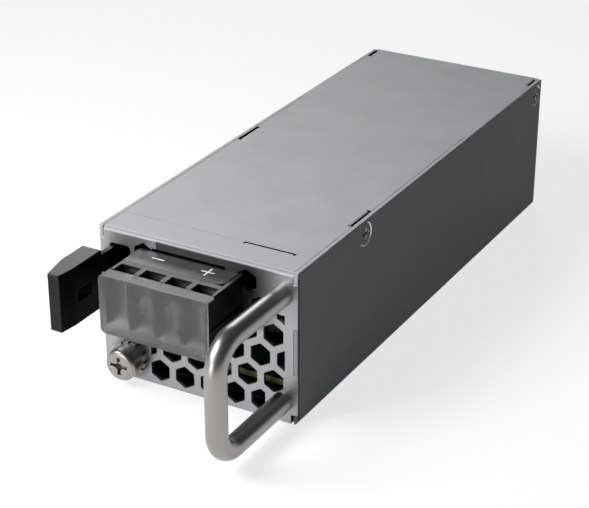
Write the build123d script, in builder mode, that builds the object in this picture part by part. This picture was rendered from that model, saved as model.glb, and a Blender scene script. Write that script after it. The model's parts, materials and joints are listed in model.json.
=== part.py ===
from build123d import *
import os

# Rack power supply: a slide-in module with a direct-current terminal block on its front panel.
# Millimetres. The origin is at the centre of the case's underside, +X to the right as seen
# from the front, +Y from the front panel to the rear, +Z up.

# Case
case_width = 54.5
case_length = 145.0
case_height = 40.0
sheet = 1.0
seam = 0.12
lip_seam = 0.22
fold_radius = 1.2
wall_corner_radius = 0.6
corner_radius = 1.2
lip_depth = 8.8
foot_finger = 2.4
middle_finger_z = 19.4
middle_finger = 11.8
head_finger = 2.9
relief_width = 0.7
right_wing_from_rear, right_wing_length = 30.4, 43.4
left_wing_from_rear, left_wing_length = 30.3, 33.7
tuck_x, tuck_width, tuck_length, tuck_slot = 15.1, 13.4, 6.2, 0.5

# Cover ears and their countersunk screws
ear_bend = 1.2
ear_height = 7.5
ear_relief = 0.6
front_ear_length = 9.3
rear_ear_length = 5.0
right_ear_from_front = 33.6
left_ear_from_front = 67.4
rear_ear_from_rear = 3.7
ear_screw_drop = 3.9
ear_screw_diameter, ear_screw_head, ear_screw_length = 3.0, 5.6, 4.5
ear_screw_angle, ear_screw_sink = 110, 0.15
thread_clearance = 0.04

# Hexagonal vents
vent_flats = 5.3
vent_corner = 0.5
vent_pitch = 7.11
vent_rise = 6.15
vent_first_z = 4.15
vent_margin = 3.4
vent_left_margin = 13.4
leg_clear_radius = 5.3
leg_drop_radius = 3.2
vent_top_margin = 5.0
corner_pad_width, corner_pad_height = 8.8, 7.1

# Handle
handle_diameter = 5.2
handle_inset = 4.0
handle_low_z = 5.5
handle_top_drop = 6.3
handle_reach = 29.2
handle_bend = 7.0
handle_screw, handle_screw_head, handle_screw_depth = 3.0, 5.2, 8.0

# Latch
arm_inset = 4.3
arm_thickness = 1.2
arm_drop, arm_height = 4.8, 12.2
slot_side_room, slot_travel_room, slot_end_room = 0.35, 4.3, 0.7
pivot_from_front = 45.0
pivot_inset = 4.85
pin_diameter = 2.0
pin_fit = 0.04
knuckle_diameter = 4.4
knuckle_height = 3.6
tooth_from_front, tooth_length, tooth_height, tooth_reach = 15.5, 10.0, 8.0, 2.0
window_room_front, window_room = 1.4, 0.7
paddle_over_arm, paddle_under_arm = 1.2, 1.5
paddle_start, paddle_kink, paddle_end = 5.5, 14.2, 21.8
paddle_width, paddle_nose = 5.5, 3.85
grip_facet_start, grip_facet = 16.9, 0.6
thumb_start, thumb_end, thumb_height, thumb_drop, thumb_depth = 10.1, 15.6, 3.2, 0.3, 1.9
bracket_sheet = 1.0
bracket_length = 9.0
ear_room = 0.5
spring_wire, spring_coil_radius, spring_turns, spring_front_leg, spring_rear_leg = 0.5, 1.95, 4, 8.5, 4.2

# Terminal block
block_offset = -1.25
block_width = 28.4
block_depth = 15.2
block_drop, block_height = 3.5, 13.0
bay_end_extra = 0.32
bay_wall = 1.42
bay_depth = 4.2
bay_roof = 1.2
window_length, window_front = 3.4, 2.6
side_recess, side_recess_low, side_recess_high = 0.4, 4.7, 10.0
spigot_left_step, spigot_right_step, spigot_depth = 3.4, 5.2, 6.0
spigot_low, spigot_top_gap = 1.7, 0.9
panel_room = 0.25
slit_height = 0.4
marker_depth, marker_inset, marker_thickness, marker_groove, marker_corner = 6.9, 1.2, 1.0, 0.25, 2.3
lip_step = 0.8
running_gap = 0.3

# Frosted terminal cover
cover_wall = 0.9
cover_side_depth, cover_lip_thickness = 3.3, 0.6
cover_skirt = 2.4
cover_flange = 3.0
cover_corner = 1.5
rib_width, rib_length, rib_height = 0.9, 0.5, 0.2

# Terminal contacts and screws
busbar_thickness = 1.2
contact_end_gap, contact_height, contact_low = 0.92, 9.2, 1.7
tongue_width = 5.0
tongue_rise = 1.6
foot_from_front, foot_length = 13.5, 4.5
terminal_screw, terminal_head, terminal_head_height, terminal_screw_length = 3.0, 5.0, 1.7, 7.0
terminal_bore_depth = 6.2
clamp_thickness, clamp_width, clamp_height = 1.0, 5.0, 5.4
clamp_gap, head_gap = 0.3, 0.05
screw_lift = 6.5
block_screw, block_screw_head, block_screw_depth = 2.0, 3.5, 5.0
block_screw_lift, block_screw_left, block_screw_right = 5.25, 1.55, 2.5

# Ground screw
ground_x_inset, ground_z = 8.0, 6.0
ground_screw_diameter, ground_head, ground_head_height = 4.0, 8.4, 2.5
collar_diameter, collar_thickness = 8.0, 2.3
tooth_ring_diameter, tooth_ring_thickness, tooth_ring_teeth = 8.8, 1.4, 12
tooth_notch_width, tooth_notch_depth = 0.8, 1.1
ground_nut_diameter, ground_nut_thickness = 7.4, 3.0
ground_tip = 1.5

# Main board and what holds it
board_thickness = 1.6
standoff_height, standoff_flats = 6.0, 5.0
board_side_gap = 1.45
board_front_gap, board_rear_gap = 3.2, 1.2
board_screw, board_screw_head, board_screw_head_height, board_screw_length = 3.0, 5.2, 2.0, 6.4
board_screw_inset = 4.9
front_screw_from_front, middle_screw_from_front, rear_screw_from_rear = 16.5, 54.5, 10.5
notch_width, notch_length = 11.0, 7.0
edge_width, edge_length, edge_chamfer = 40.0, 10.0, 1.2
edge_opening_room = 2.0
contact_thickness, contact_length = 0.1, 8.5
power_contact_width, power_contacts, signal_contact_width, signal_contacts = 5.0, 4, 1.2, 6
contact_pitch_gap = 0.8
insulation_thickness, insulation_inset, insulation_hole = 0.4, 1.2, 6.4

# Rear panel
rear_vent_drop = 5.1
rear_vent_rows, rear_vent_columns = 4, 6
flange_depth, flange_low_z, flange_height = 8.0, 3.0, 24.0

# Input filter
fuse_diameter, fuse_length, fuse_cap_diameter, fuse_cap_length = 5.8, 32.0, 6.4, 6.0
fuse_wall_gap, fuse_from_front = 12.25, 28.5
fuse_lead_width = 1.2
ring_outer, ring_inner, ring_height, ring_x, ring_from_front = 22.0, 12.0, 9.0, 6.0, 31.0
turn_wire, turns_each_side, turn_angle, turn_room = 1.2, 7, 20.0, 0.05
winding_angles = (0, 180)
film_width, film_length, film_height, film_gap, film_from_front = 17.0, 8.0, 15.0, 0.65, 54.0

# Power train
bulk_diameter, bulk_height, bulk_wall_gap, bulk_from_front = 15.0, 25.0, 2.75, 67.5
can_edge = 0.8
core_width, core_depth, core_height, core_back, core_leg, core_post = 26.5, 17.0, 20.0, 4.0, 4.0, 8.0
core_gap = 0.06
core_from_rear = 48.0
winding_overhang, winding_room, winding_flange = 4.5, 0.2, 1.0
choke_width, choke_depth, choke_height, choke_back, choke_leg, choke_post = 20.0, 13.0, 15.0, 3.0, 3.0, 6.5
choke_from_rear = 24.0
choke_overhang = 2.8
sink_base, sink_fin, sink_fin_length, sink_height, sink_length, sink_fins = 2.0, 1.2, 3.0, 25.0, 40.0, 6
sink_wall_gap, sink_from_rear = 2.25, 42.0
device_width, device_height, device_thickness, device_lift = 10.0, 15.0, 4.4, 4.0
device_tab, device_tab_height, device_lead, device_lead_pitch = 1.3, 5.0, 0.8, 2.54
device_pitch, device_count = 13.0, 3
can_diameter, can_height, can_pitch, can_count, can_x, can_from_rear = 8.0, 14.0, 9.0, 3, 3.5, 10.0

# Control card
card_thickness, card_length, card_height, card_wall_gap, card_from_rear = 1.6, 18.0, 20.0, 13.65, 14.0
header_width, header_length, header_height = 2.5, 15.0, 2.5
chip_size, chip_thickness, chip_z, chip_spacing = 6.0, 1.2, 12.0, 8.0

# Derived places
front_y = -case_length / 2
rear_y = case_length / 2
wall_x = case_width / 2
inner_x = wall_x - sheet
roof_z = case_height - sheet
cover_x = inner_x - seam
board_bottom_z = sheet + standoff_height
board_z = board_bottom_z + board_thickness
handle_x = wall_x - handle_inset
handle_high_z = case_height - handle_top_drop
arm_x = -wall_x + arm_inset
pivot_x = -wall_x + pivot_inset
pivot_y = front_y + pivot_from_front
arm_high_z = case_height - arm_drop
arm_low_z = arm_high_z - arm_height
arm_middle_z = (arm_low_z + arm_high_z) / 2
paddle_low_z = arm_low_z - paddle_under_arm
paddle_high_z = arm_high_z + paddle_over_arm
block_left = block_offset - block_width / 2
block_right = block_offset + block_width / 2
block_high_z = case_height - block_drop
block_low_z = block_high_z - block_height
screw_z = block_low_z + screw_lift
block_screw_z = block_low_z + block_screw_lift
spigot_width = block_width - spigot_left_step - spigot_right_step
spigot_x = block_offset + (spigot_left_step - spigot_right_step) / 2
block_front_y = front_y - block_depth
contact_y = block_front_y + bay_depth
bay_pitch = (block_width - bay_end_extra) / 4
bay_width = bay_pitch - bay_wall
bay_places = [block_offset + (i - 1.5) * bay_pitch for i in range(4)]
contact_width = 2 * (bay_pitch - contact_end_gap)
pole_places = {"negative": (bay_places[0], bay_places[1]), "positive": (bay_places[3], bay_places[2])}
ground_x = -wall_x + ground_x_inset
ear_screw_z = case_height - ear_screw_drop
wings = [
    (1, rear_y - right_wing_from_rear, right_wing_length),
    (-1, rear_y - left_wing_from_rear, left_wing_length),
]
ears = [
    (1, front_y + right_ear_from_front, front_ear_length),
    (1, rear_y - rear_ear_from_rear, rear_ear_length),
    (-1, front_y + left_ear_from_front, front_ear_length),
    (-1, rear_y - rear_ear_from_rear, rear_ear_length),
]
sink_x = inner_x - sink_wall_gap - sink_fin_length - sink_base
board_screw_x = inner_x - board_screw_inset
film_x = board_screw_x - board_screw_head / 2 - film_gap - film_width / 2
fuse_x = -inner_x + fuse_wall_gap
card_x = -inner_x + card_wall_gap
bulk_pitch = inner_x - bulk_wall_gap - bulk_diameter / 2
board_screw_places = [
    (side * board_screw_x, y)
    for side in (-1, 1)
    for y in (
        front_y + front_screw_from_front,
        front_y + middle_screw_from_front,
        rear_y - rear_screw_from_rear,
    )
]


def across(y):
    """Plane across the case at depth y, facing the front."""
    return Plane.XZ.offset(-y)


def along(x):
    """Plane along the case at x, facing the right: its x is depth, its y is height."""
    return Plane.YZ.offset(x)


def level(z):
    """Level plane at height z."""
    return Plane.XY.offset(z)


def to_front(x, y, z):
    """Place of a piece whose own +Z faces the front."""
    return Plane(origin=(x, y, z), x_dir=(1, 0, 0), z_dir=(0, -1, 0))


def to_rear(x, y, z):
    """Place of a piece whose own +Z faces the rear."""
    return Plane(origin=(x, y, z), x_dir=(1, 0, 0), z_dir=(0, 1, 0))


def to_side(side, x, y, z):
    """Place of a piece whose own +Z faces the right (side 1) or the left (side -1)."""
    return Plane(origin=(x, y, z), x_dir=(0, 1, 0), z_dir=(side, 0, 0))


def write(builder, label):
    """Label a finished piece and write it."""
    builder.part.label = label
    export_step(builder.part, f"parts/{label}.step")


def pan_screw(diameter, length, head, head_height):
    """Pan-head screw with a cross recess: head above its own XY plane, shank below."""
    recess = head * 0.58
    with BuildPart() as screw:
        with BuildSketch(Plane.XY):
            Circle(head / 2)
        extrude(amount=head_height)
        fillet(screw.edges().sort_by(Axis.Z)[-1], head_height * 0.5)
        with BuildSketch(Plane.XY):
            Circle(diameter / 2)
        extrude(amount=-length)
        with BuildSketch(Plane.XY.offset(head_height)):
            Rectangle(recess, recess / 5)
            Rectangle(recess / 5, recess)
            Rectangle(recess / 2.4, recess / 2.4, rotation=45)
        extrude(amount=-head_height * 0.6, taper=6, mode=Mode.SUBTRACT)
    return screw.part


def countersunk_screw(diameter, length, head, angle):
    """Countersunk screw with a cross recess: flat head in its own XY plane, shank below."""
    cone = (head - diameter) / 2 / tan_degrees(angle / 2)
    recess = head * 0.6
    with BuildPart() as screw:
        with BuildSketch(Plane.XZ):
            with BuildLine():
                Polyline(
                    (0, 0),
                    (head / 2, 0),
                    (diameter / 2, -cone),
                    (diameter / 2, -length),
                    (0, -length),
                    close=True,
                )
            make_face()
        revolve(axis=Axis.Z)
        with BuildSketch(Plane.XY):
            Rectangle(recess, recess / 4.5)
            Rectangle(recess / 4.5, recess)
        extrude(amount=-cone, mode=Mode.SUBTRACT)
    return screw.part


def tan_degrees(angle):
    """Tangent of an angle in degrees."""
    side = Vector(1, 0).rotate(Axis.Z, angle)
    return side.Y / side.X


def hexagon(corner=0):
    """One vent hole's outline, a point upwards, with rounded corners."""
    with BuildSketch() as hole:
        RegularPolygon(vent_flats / 2, 6, major_radius=False, rotation=30)
        if corner:
            fillet(hole.vertices(), corner)
    return hole.sketch


def e_core(x, y, width, depth, height, back, leg, post):
    """Two facing E-shaped ferrite halves on the board, with a small gap between their legs."""
    half = (height - core_gap) / 2
    with BuildPart() as core:
        for base, up in ((board_z, 1), (board_z + height, -1)):
            with BuildSketch(across(y + depth / 2)):
                with Locations((x, base + up * half / 2)):
                    Rectangle(width, half)
                for window in (-1, 1):
                    opening = (width - 2 * leg - post) / 2
                    with Locations((x + window * (post + opening) / 2, base + up * (back + half) / 2)):
                        Rectangle(opening, half - back, mode=Mode.SUBTRACT)
            extrude(amount=depth)
    return core


def winding(x, y, width, depth, height, back, leg, post, overhang):
    """Wound bobbin round a core's middle post, with a flange at its top and bottom."""
    room = winding_room
    inner = (post + 2 * room, depth + 2 * room)
    outer = (width - 2 * leg - 2 * room, depth + 2 * overhang)
    low, high = board_z + back + room, board_z + height - back - room
    with BuildPart() as coil:
        for z, tall, trim in (
            (low, winding_flange, 0),
            (low, high - low, winding_flange),
            (high - winding_flange, winding_flange, 0),
        ):
            with BuildSketch(level(z)):
                with Locations((x, y)):
                    RectangleRounded(outer[0] - trim, outer[1] - trim, overhang / 2)
                    Rectangle(*inner, mode=Mode.SUBTRACT)
            extrude(amount=tall)
    return coil


def heatsink(side):
    """Extruded heatsink beside one wall: an upright base with level fins towards the wall."""
    with BuildPart() as sink:
        with BuildSketch(across(rear_y - sink_from_rear + sink_length / 2)):
            with Locations((side * (sink_x + sink_base / 2), board_z + sink_height / 2)):
                Rectangle(sink_base, sink_height)
            for i in range(sink_fins):
                z = board_z + sink_fin / 2 + i * (sink_height - sink_fin) / (sink_fins - 1)
                with Locations((side * (sink_x + sink_base + sink_fin_length / 2), z)):
                    Rectangle(sink_fin_length, sink_fin)
        extrude(amount=sink_length)
    return sink


def power_devices(side):
    """Upright power devices against a heatsink's inner face: body, metal tab and three leads."""
    face = side * sink_x
    low = board_z + device_lift
    places = [rear_y - sink_from_rear + (i - (device_count - 1) / 2) * device_pitch for i in range(device_count)]
    with BuildPart() as devices:
        for y in places:
            with BuildSketch(level(low)):
                with Locations((face - side * device_thickness / 2, y)):
                    Rectangle(device_thickness, device_width)
            extrude(amount=device_height)
            with BuildSketch(level(low + device_height)):
                with Locations((face - side * device_tab / 2, y)):
                    Rectangle(device_tab, device_width)
            extrude(amount=device_tab_height)
            with BuildSketch(level(board_z)):
                for lead in (-1, 0, 1):
                    with Locations((face - side * device_thickness / 2, y + lead * device_lead_pitch)):
                        Rectangle(device_lead, device_lead)
            extrude(amount=device_lift)
    return devices


def can_capacitors(places, diameter, height):
    """Upright round capacitors on the board, their top edges rounded."""
    with BuildPart() as cans:
        with BuildSketch(level(board_z)):
            with Locations(*places):
                Circle(diameter / 2)
        extrude(amount=height)
        fillet(cans.edges().filter_by(GeomType.CIRCLE).group_by(Axis.Z)[-1], can_edge)
    return cans


os.makedirs("parts", exist_ok=True)

# Chassis: floor and two side walls folded from one sheet, with fingers into the front panel
fingers = [
    (foot_finger / 2, foot_finger),
    (middle_finger_z, middle_finger),
    (case_height - head_finger / 2, head_finger),
]
window_centre = front_y + tooth_from_front + (tooth_length + window_room - window_room_front) / 2
window_span = tooth_length + window_room_front + window_room
with BuildPart() as chassis:
    with BuildSketch(across(rear_y)):
        Rectangle(case_width, case_height, align=(Align.CENTER, Align.MIN))
        fillet(vertices().group_by(Axis.Y)[0], corner_radius)
        with Locations((0, sheet)):
            Rectangle(2 * inner_x, case_height, align=(Align.CENTER, Align.MIN), mode=Mode.SUBTRACT)
    extrude(amount=case_length)
    with BuildSketch(across(front_y)):
        Rectangle(case_width, case_height, align=(Align.CENTER, Align.MIN))
        for z, length in fingers:
            with Locations((-wall_x + sheet / 2, z), (wall_x - sheet / 2, z)):
                Rectangle(sheet, length, mode=Mode.SUBTRACT)
    extrude(amount=-(sheet + seam), mode=Mode.SUBTRACT)
    wall_tops = chassis.edges().filter_by(Axis.X).group_by(Axis.Z)[-1]
    fillet(wall_tops.group_by(Axis.Y)[0] + wall_tops.group_by(Axis.Y)[-1], wall_corner_radius)
    with BuildSketch(level(case_height)):
        for side, y, length in wings:
            with Locations((side * (wall_x - sheet / 2), y)):
                Rectangle(sheet, length)
    extrude(amount=-sheet - seam, mode=Mode.SUBTRACT)
    with BuildSketch(along(-wall_x)):
        with Locations((window_centre, arm_middle_z)):
            RectangleRounded(window_span, tooth_height + 2 * window_room, window_room)
    extrude(amount=sheet, mode=Mode.SUBTRACT)
    for side, y, length in ears:
        with Locations(to_side(side, side * wall_x, y, ear_screw_z)):
            CounterSinkHole(
                ear_screw_diameter / 2 + thread_clearance,
                ear_screw_head / 2 + thread_clearance + ear_screw_sink * tan_degrees(ear_screw_angle / 2),
                depth=2 * sheet,
                counter_sink_angle=ear_screw_angle,
            )
write(chassis, "chassis")

# Front panel: pierced face folded back into a top lip, with a tab tucked under the cover
slot_left = arm_x - arm_thickness - slot_side_room
slot_right = arm_x + slot_travel_room
block_screw_places = [block_left + block_screw_left, block_right - block_screw_right]
vent_columns = int((case_width - vent_left_margin - vent_margin) / vent_pitch) + 2
vent_rows = int((case_height - vent_top_margin - vent_first_z) / vent_rise) + 1
low_row_top = block_low_z - vent_flats
last_vent_x = wall_x - vent_margin + vent_flats / 2


def front_vents():
    """Centres of the staggered vent holes that the block and the latch leave free."""
    centres = []
    for row in range(vent_rows):
        start = -wall_x + vent_left_margin + vent_flats / 2 - row % 2 * vent_pitch / 2
        z = vent_first_z + row * vent_rise
        for column in range(vent_columns):
            x = start + column * vent_pitch
            beside_block = x > block_right or z < low_row_top
            above_corner = column == 0 and row == vent_rows - 1
            under_leg = Vector(x - handle_x, z - handle_high_z).length < leg_drop_radius
            if (beside_block or above_corner) and x < last_vent_x and not under_leg:
                centres.append((x, z))
    return centres


with BuildPart() as front_panel:
    with BuildSketch(along(-wall_x)):
        with BuildLine():
            Polyline(
                (front_y, 0),
                (front_y, case_height),
                (front_y + lip_depth, case_height),
                (front_y + lip_depth, roof_z),
                (front_y + sheet, roof_z),
                (front_y + sheet, 0),
                close=True,
            )
        make_face()
        fillet(vertices().sort_by_distance((front_y, case_height))[0], fold_radius)
        fillet(vertices().sort_by_distance((front_y + sheet, roof_z))[0], fold_radius - sheet)
    extrude(amount=case_width)
    with BuildSketch(level(roof_z)):
        with Locations((tuck_x, front_y + lip_depth)):
            Rectangle(tuck_width, tuck_length)
    extrude(amount=-sheet)
    with BuildSketch(level(case_height)):
        with Locations((tuck_x, front_y + lip_depth)):
            Rectangle(tuck_width, 2 * tuck_slot)
        with Locations((tuck_x - tuck_width / 2, front_y + lip_depth), (tuck_x + tuck_width / 2, front_y + lip_depth)):
            Rectangle(tuck_slot, 4 * tuck_slot)
    extrude(amount=-sheet, mode=Mode.SUBTRACT)
    with BuildSketch(across(front_y + lip_depth)):
        for z, length in fingers:
            with Locations((-wall_x, z), (wall_x, z)):
                Rectangle(2 * (sheet + seam), length + 2 * seam)
    extrude(amount=lip_depth, mode=Mode.SUBTRACT)
    with BuildSketch(across(front_y)):
        for side in (-1, 1):
            with Locations((side * (inner_x - seam - relief_width / 2), 0)):
                Rectangle(relief_width, 2 * foot_finger)
    extrude(amount=-sheet, mode=Mode.SUBTRACT)
    with BuildSketch(across(front_y)):
        with Locations(*front_vents()):
            add(hexagon(vent_corner))
        with Locations((wall_x - vent_margin / 2, case_height / 2)):
            Rectangle(vent_margin, case_height, mode=Mode.SUBTRACT)
        with Locations((-wall_x + vent_left_margin / 2, low_row_top / 2)):
            Rectangle(vent_left_margin, low_row_top, mode=Mode.SUBTRACT)
        with Locations((wall_x - corner_pad_width / 2, corner_pad_height / 2)):
            Rectangle(corner_pad_width, corner_pad_height, mode=Mode.SUBTRACT)
        with Locations((handle_x, handle_high_z)):
            Circle(leg_clear_radius, mode=Mode.SUBTRACT)
    extrude(amount=-sheet, mode=Mode.SUBTRACT)
    with BuildSketch(across(front_y)):
        with Locations(((slot_left + slot_right) / 2, arm_middle_z)):
            RectangleRounded(slot_right - slot_left, arm_high_z - arm_low_z + 2 * slot_end_room, 0.9)
        with Locations((spigot_x, (block_low_z + block_high_z + slit_height + spigot_low) / 2)):
            Rectangle(spigot_width + 2 * panel_room, block_height + slit_height - spigot_low + panel_room)
        with Locations((handle_x, handle_low_z), (handle_x, handle_high_z)):
            Circle(handle_screw / 2 + panel_room)
        with Locations((ground_x, ground_z)):
            Circle(ground_screw_diameter / 2 + running_gap)
        with Locations(*[(x, block_screw_z) for x in block_screw_places]):
            Circle(block_screw / 2 + panel_room)
    extrude(amount=-sheet, mode=Mode.SUBTRACT)
write(front_panel, "front_panel")

# Top cover: a flat sheet with a wing over each wall and four ears bent down inside the walls
cover_front_y = front_y + lip_depth + lip_seam
with BuildPart() as top_cover:
    with BuildSketch(level(roof_z)):
        with Locations((0, (cover_front_y + rear_y) / 2)):
            Rectangle(2 * cover_x, rear_y - cover_front_y)
        for side, y, length in ears:
            with Locations((side * (cover_x - ear_bend / 2), y)):
                Rectangle(ear_bend, length + 2 * ear_relief, mode=Mode.SUBTRACT)
        for side, y, length in wings:
            with Locations((side * (cover_x + wall_x) / 2, y)):
                Rectangle(wall_x - cover_x, length - 2 * seam)
    extrude(amount=sheet)
    for side, y, length in ears:
        with BuildSketch(across(y + length / 2)):
            with BuildLine():
                Polyline(
                    (side * (cover_x - 2 * ear_bend), case_height),
                    (side * cover_x, case_height),
                    (side * cover_x, roof_z - ear_height),
                    (side * (cover_x - sheet), roof_z - ear_height),
                    (side * (cover_x - sheet), roof_z),
                    (side * (cover_x - 2 * ear_bend), roof_z),
                    close=True,
                )
            make_face()
            fillet(vertices().sort_by_distance((side * cover_x, case_height))[0], ear_bend)
            fillet(vertices().sort_by_distance((side * (cover_x - sheet), roof_z))[0], ear_bend - sheet)
        extrude(amount=length)
        with Locations(to_side(side, side * cover_x, y, ear_screw_z)):
            Hole(ear_screw_diameter / 2 + thread_clearance, depth=sheet)
write(top_cover, "top_cover")

# Countersunk screws that hold the cover's ears, two through each wall
ear_screw = countersunk_screw(ear_screw_diameter, ear_screw_length, ear_screw_head, ear_screw_angle)
with BuildPart() as cover_screws_right:
    with Locations(*[to_side(1, wall_x - ear_screw_sink, y, ear_screw_z) for side, y, length in ears if side > 0]):
        add(ear_screw)
write(cover_screws_right, "cover_screws_right")

with BuildPart() as cover_screws_left:
    with Locations(*[to_side(-1, -wall_x + ear_screw_sink, y, ear_screw_z) for side, y, length in ears if side < 0]):
        add(ear_screw)
write(cover_screws_left, "cover_screws_left")

# Rear panel: vented sheet between the walls, with flanges along them and the board's opening
rear_low_z = sheet + seam
with BuildPart() as rear_panel:
    with BuildSketch(across(rear_y)):
        with Locations((0, (rear_low_z + roof_z - seam) / 2)):
            Rectangle(2 * cover_x, roof_z - seam - rear_low_z)
        for row in range(rear_vent_rows):
            for column in range(rear_vent_columns - row % 2):
                x = (column - (rear_vent_columns - 1 - row % 2) / 2) * vent_pitch
                with Locations((x, case_height - rear_vent_drop - row * vent_rise)):
                    add(hexagon(), mode=Mode.SUBTRACT)
        with Locations((0, (board_bottom_z + board_z) / 2)):
            RectangleRounded(
                edge_width + edge_opening_room,
                board_thickness + 2 * edge_opening_room,
                edge_opening_room / 4,
                mode=Mode.SUBTRACT,
            )
    extrude(amount=sheet)
    with BuildSketch(level(flange_low_z)):
        for side in (-1, 1):
            with Locations((side * (cover_x - sheet / 2), rear_y - flange_depth / 2)):
                Rectangle(sheet, flange_depth)
    extrude(amount=flange_height)
    fillet(
        rear_panel.edges().filter_by(Axis.Z).group_by(SortBy.LENGTH)[-1].group_by(Axis.Y)[-1],
        sheet / 2,
    )
write(rear_panel, "rear_panel")

# Handle: one bent rod, screwed on from behind the panel
with BuildPart() as handle:
    with BuildLine() as handle_path:
        FilletPolyline(
            (handle_x, front_y, handle_high_z),
            (handle_x, front_y - handle_reach, handle_high_z),
            (handle_x, front_y - handle_reach, handle_low_z),
            (handle_x, front_y, handle_low_z),
            radius=handle_bend,
        )
    with BuildSketch(to_front(handle_x, front_y, handle_high_z)):
        Circle(handle_diameter / 2)
    sweep()
    with Locations(to_rear(handle_x, front_y, handle_low_z), to_rear(handle_x, front_y, handle_high_z)):
        Hole(handle_screw / 2 + thread_clearance, depth=handle_screw_depth)
write(handle, "handle")

handle_fixing = pan_screw(handle_screw, handle_screw_depth, handle_screw_head, board_screw_head_height)
with BuildPart() as handle_screws:
    with Locations(*[to_rear(handle_x, front_y + sheet, z) for z in (handle_low_z, handle_high_z)]):
        add(handle_fixing)
write(handle_screws, "handle_screws")

# Latch lever: moulded paddle, arm through the panel's slot, tooth in the wall's window, two knuckles
tooth_front_y = front_y + tooth_from_front
paddle_left = arm_x - paddle_width
with BuildPart() as latch_lever:
    with BuildSketch(level(paddle_low_z)):
        with BuildLine():
            Polyline(
                (arm_x, front_y - paddle_start),
                (arm_x, front_y - grip_facet_start),
                (arm_x - grip_facet, front_y - paddle_end),
                (arm_x - paddle_nose, front_y - paddle_end),
                (paddle_left, front_y - paddle_kink),
                (paddle_left, front_y - paddle_start),
                close=True,
            )
        make_face()
    extrude(amount=paddle_high_z - paddle_low_z)
    fillet(latch_lever.edges(), 0.3)
    with BuildSketch(level(arm_low_z)):
        with BuildLine():
            Polyline(
                (arm_x, front_y - paddle_start - 1),
                (arm_x, pivot_y),
                (pivot_x - knuckle_diameter / 2, pivot_y),
                (arm_x - arm_thickness, front_y + sheet),
                (arm_x - arm_thickness, front_y - paddle_start - 1),
                close=True,
            )
        make_face()
    extrude(amount=arm_height)
    with BuildSketch(level(arm_middle_z - tooth_height / 2)):
        with BuildLine():
            Polyline(
                (arm_x - arm_thickness / 2, tooth_front_y),
                (-wall_x - tooth_reach, tooth_front_y),
                (-wall_x - tooth_reach, tooth_front_y + tooth_length * 0.15),
                (arm_x - arm_thickness, tooth_front_y + tooth_length),
                (arm_x - arm_thickness / 2, tooth_front_y + tooth_length),
                close=True,
            )
        make_face()
    extrude(amount=tooth_height)
    with BuildSketch(level(arm_low_z)):
        with Locations((pivot_x, pivot_y)):
            Circle(knuckle_diameter / 2)
    extrude(amount=arm_height)
    with BuildSketch(level(arm_low_z + knuckle_height)):
        with Locations((pivot_x, pivot_y)):
            Rectangle(2 * knuckle_diameter, 2 * knuckle_diameter)
    extrude(amount=arm_height - 2 * knuckle_height, mode=Mode.SUBTRACT)
    with BuildSketch(level(arm_low_z)):
        with Locations((pivot_x, pivot_y)):
            Circle(pin_diameter / 2 + pin_fit)
    extrude(amount=arm_height, mode=Mode.SUBTRACT)
    with BuildSketch(level(arm_middle_z - thumb_height / 2 - thumb_drop)):
        with BuildLine():
            Polyline(
                (arm_x + thumb_depth, front_y - thumb_start),
                (arm_x + thumb_depth, front_y - thumb_end),
                (arm_x - thumb_depth, front_y - thumb_end),
                (arm_x, front_y - thumb_start),
                close=True,
            )
        make_face()
    extrude(amount=thumb_height, mode=Mode.SUBTRACT)
write(latch_lever, "latch_lever")

# Latch bracket: spot-welded to the left wall, its two ears hold the pin
bracket_low_z = arm_low_z - ear_room - bracket_sheet
bracket_high_z = arm_high_z + ear_room + bracket_sheet
bracket_reach = pivot_inset - sheet + knuckle_diameter / 2 + pin_fit
with BuildPart() as latch_bracket:
    with BuildSketch(along(-inner_x)):
        with Locations((pivot_y, (bracket_low_z + bracket_high_z) / 2)):
            Rectangle(bracket_length, bracket_high_z - bracket_low_z)
    extrude(amount=bracket_sheet)
    for z in (bracket_low_z, bracket_high_z - bracket_sheet):
        with BuildSketch(level(z)):
            with Locations((-inner_x + bracket_reach / 2, pivot_y)):
                Rectangle(bracket_reach, bracket_length)
            with Locations((pivot_x, pivot_y)):
                Circle(pin_diameter / 2 + thread_clearance, mode=Mode.SUBTRACT)
        extrude(amount=bracket_sheet)
write(latch_bracket, "latch_bracket")

with BuildPart() as latch_pin:
    with BuildSketch(level(bracket_low_z - bracket_sheet / 2)):
        with Locations((pivot_x, pivot_y)):
            Circle(pin_diameter / 2)
    extrude(amount=bracket_high_z - bracket_low_z + bracket_sheet)
    with BuildSketch(level(bracket_high_z)):
        with Locations((pivot_x, pivot_y)):
            Circle(pin_diameter * 0.8)
    extrude(amount=bracket_sheet * 0.6)
write(latch_pin, "latch_pin")

# Torsion spring round the pin between the knuckles: its legs rest on the arm and on the bracket
spring_low_z = arm_low_z + knuckle_height + spring_wire
spring_high_z = arm_high_z - knuckle_height - spring_wire
spring_end_x = pivot_x + spring_coil_radius
with BuildPart() as latch_spring:
    with BuildLine():
        Helix(
            pitch=(spring_high_z - spring_low_z) / spring_turns,
            height=spring_high_z - spring_low_z,
            radius=spring_coil_radius,
            center=(pivot_x, pivot_y, spring_low_z),
        )
    with BuildSketch(to_rear(spring_end_x, pivot_y, spring_low_z)):
        Circle(spring_wire / 2)
    sweep(is_frenet=True)
    for rest_x, rest_y, z in (
        (arm_x + spring_wire / 2, pivot_y - spring_front_leg, spring_low_z),
        (-inner_x + bracket_sheet + spring_wire / 2, pivot_y + spring_rear_leg, spring_high_z),
    ):
        with BuildLine() as leg:
            Line((spring_end_x, pivot_y, z), (rest_x, rest_y, z))
        with BuildSketch(Plane(origin=leg.line @ 0, z_dir=leg.line % 0)):
            Circle(spring_wire / 2)
        sweep()
write(latch_spring, "latch_spring")

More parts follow.
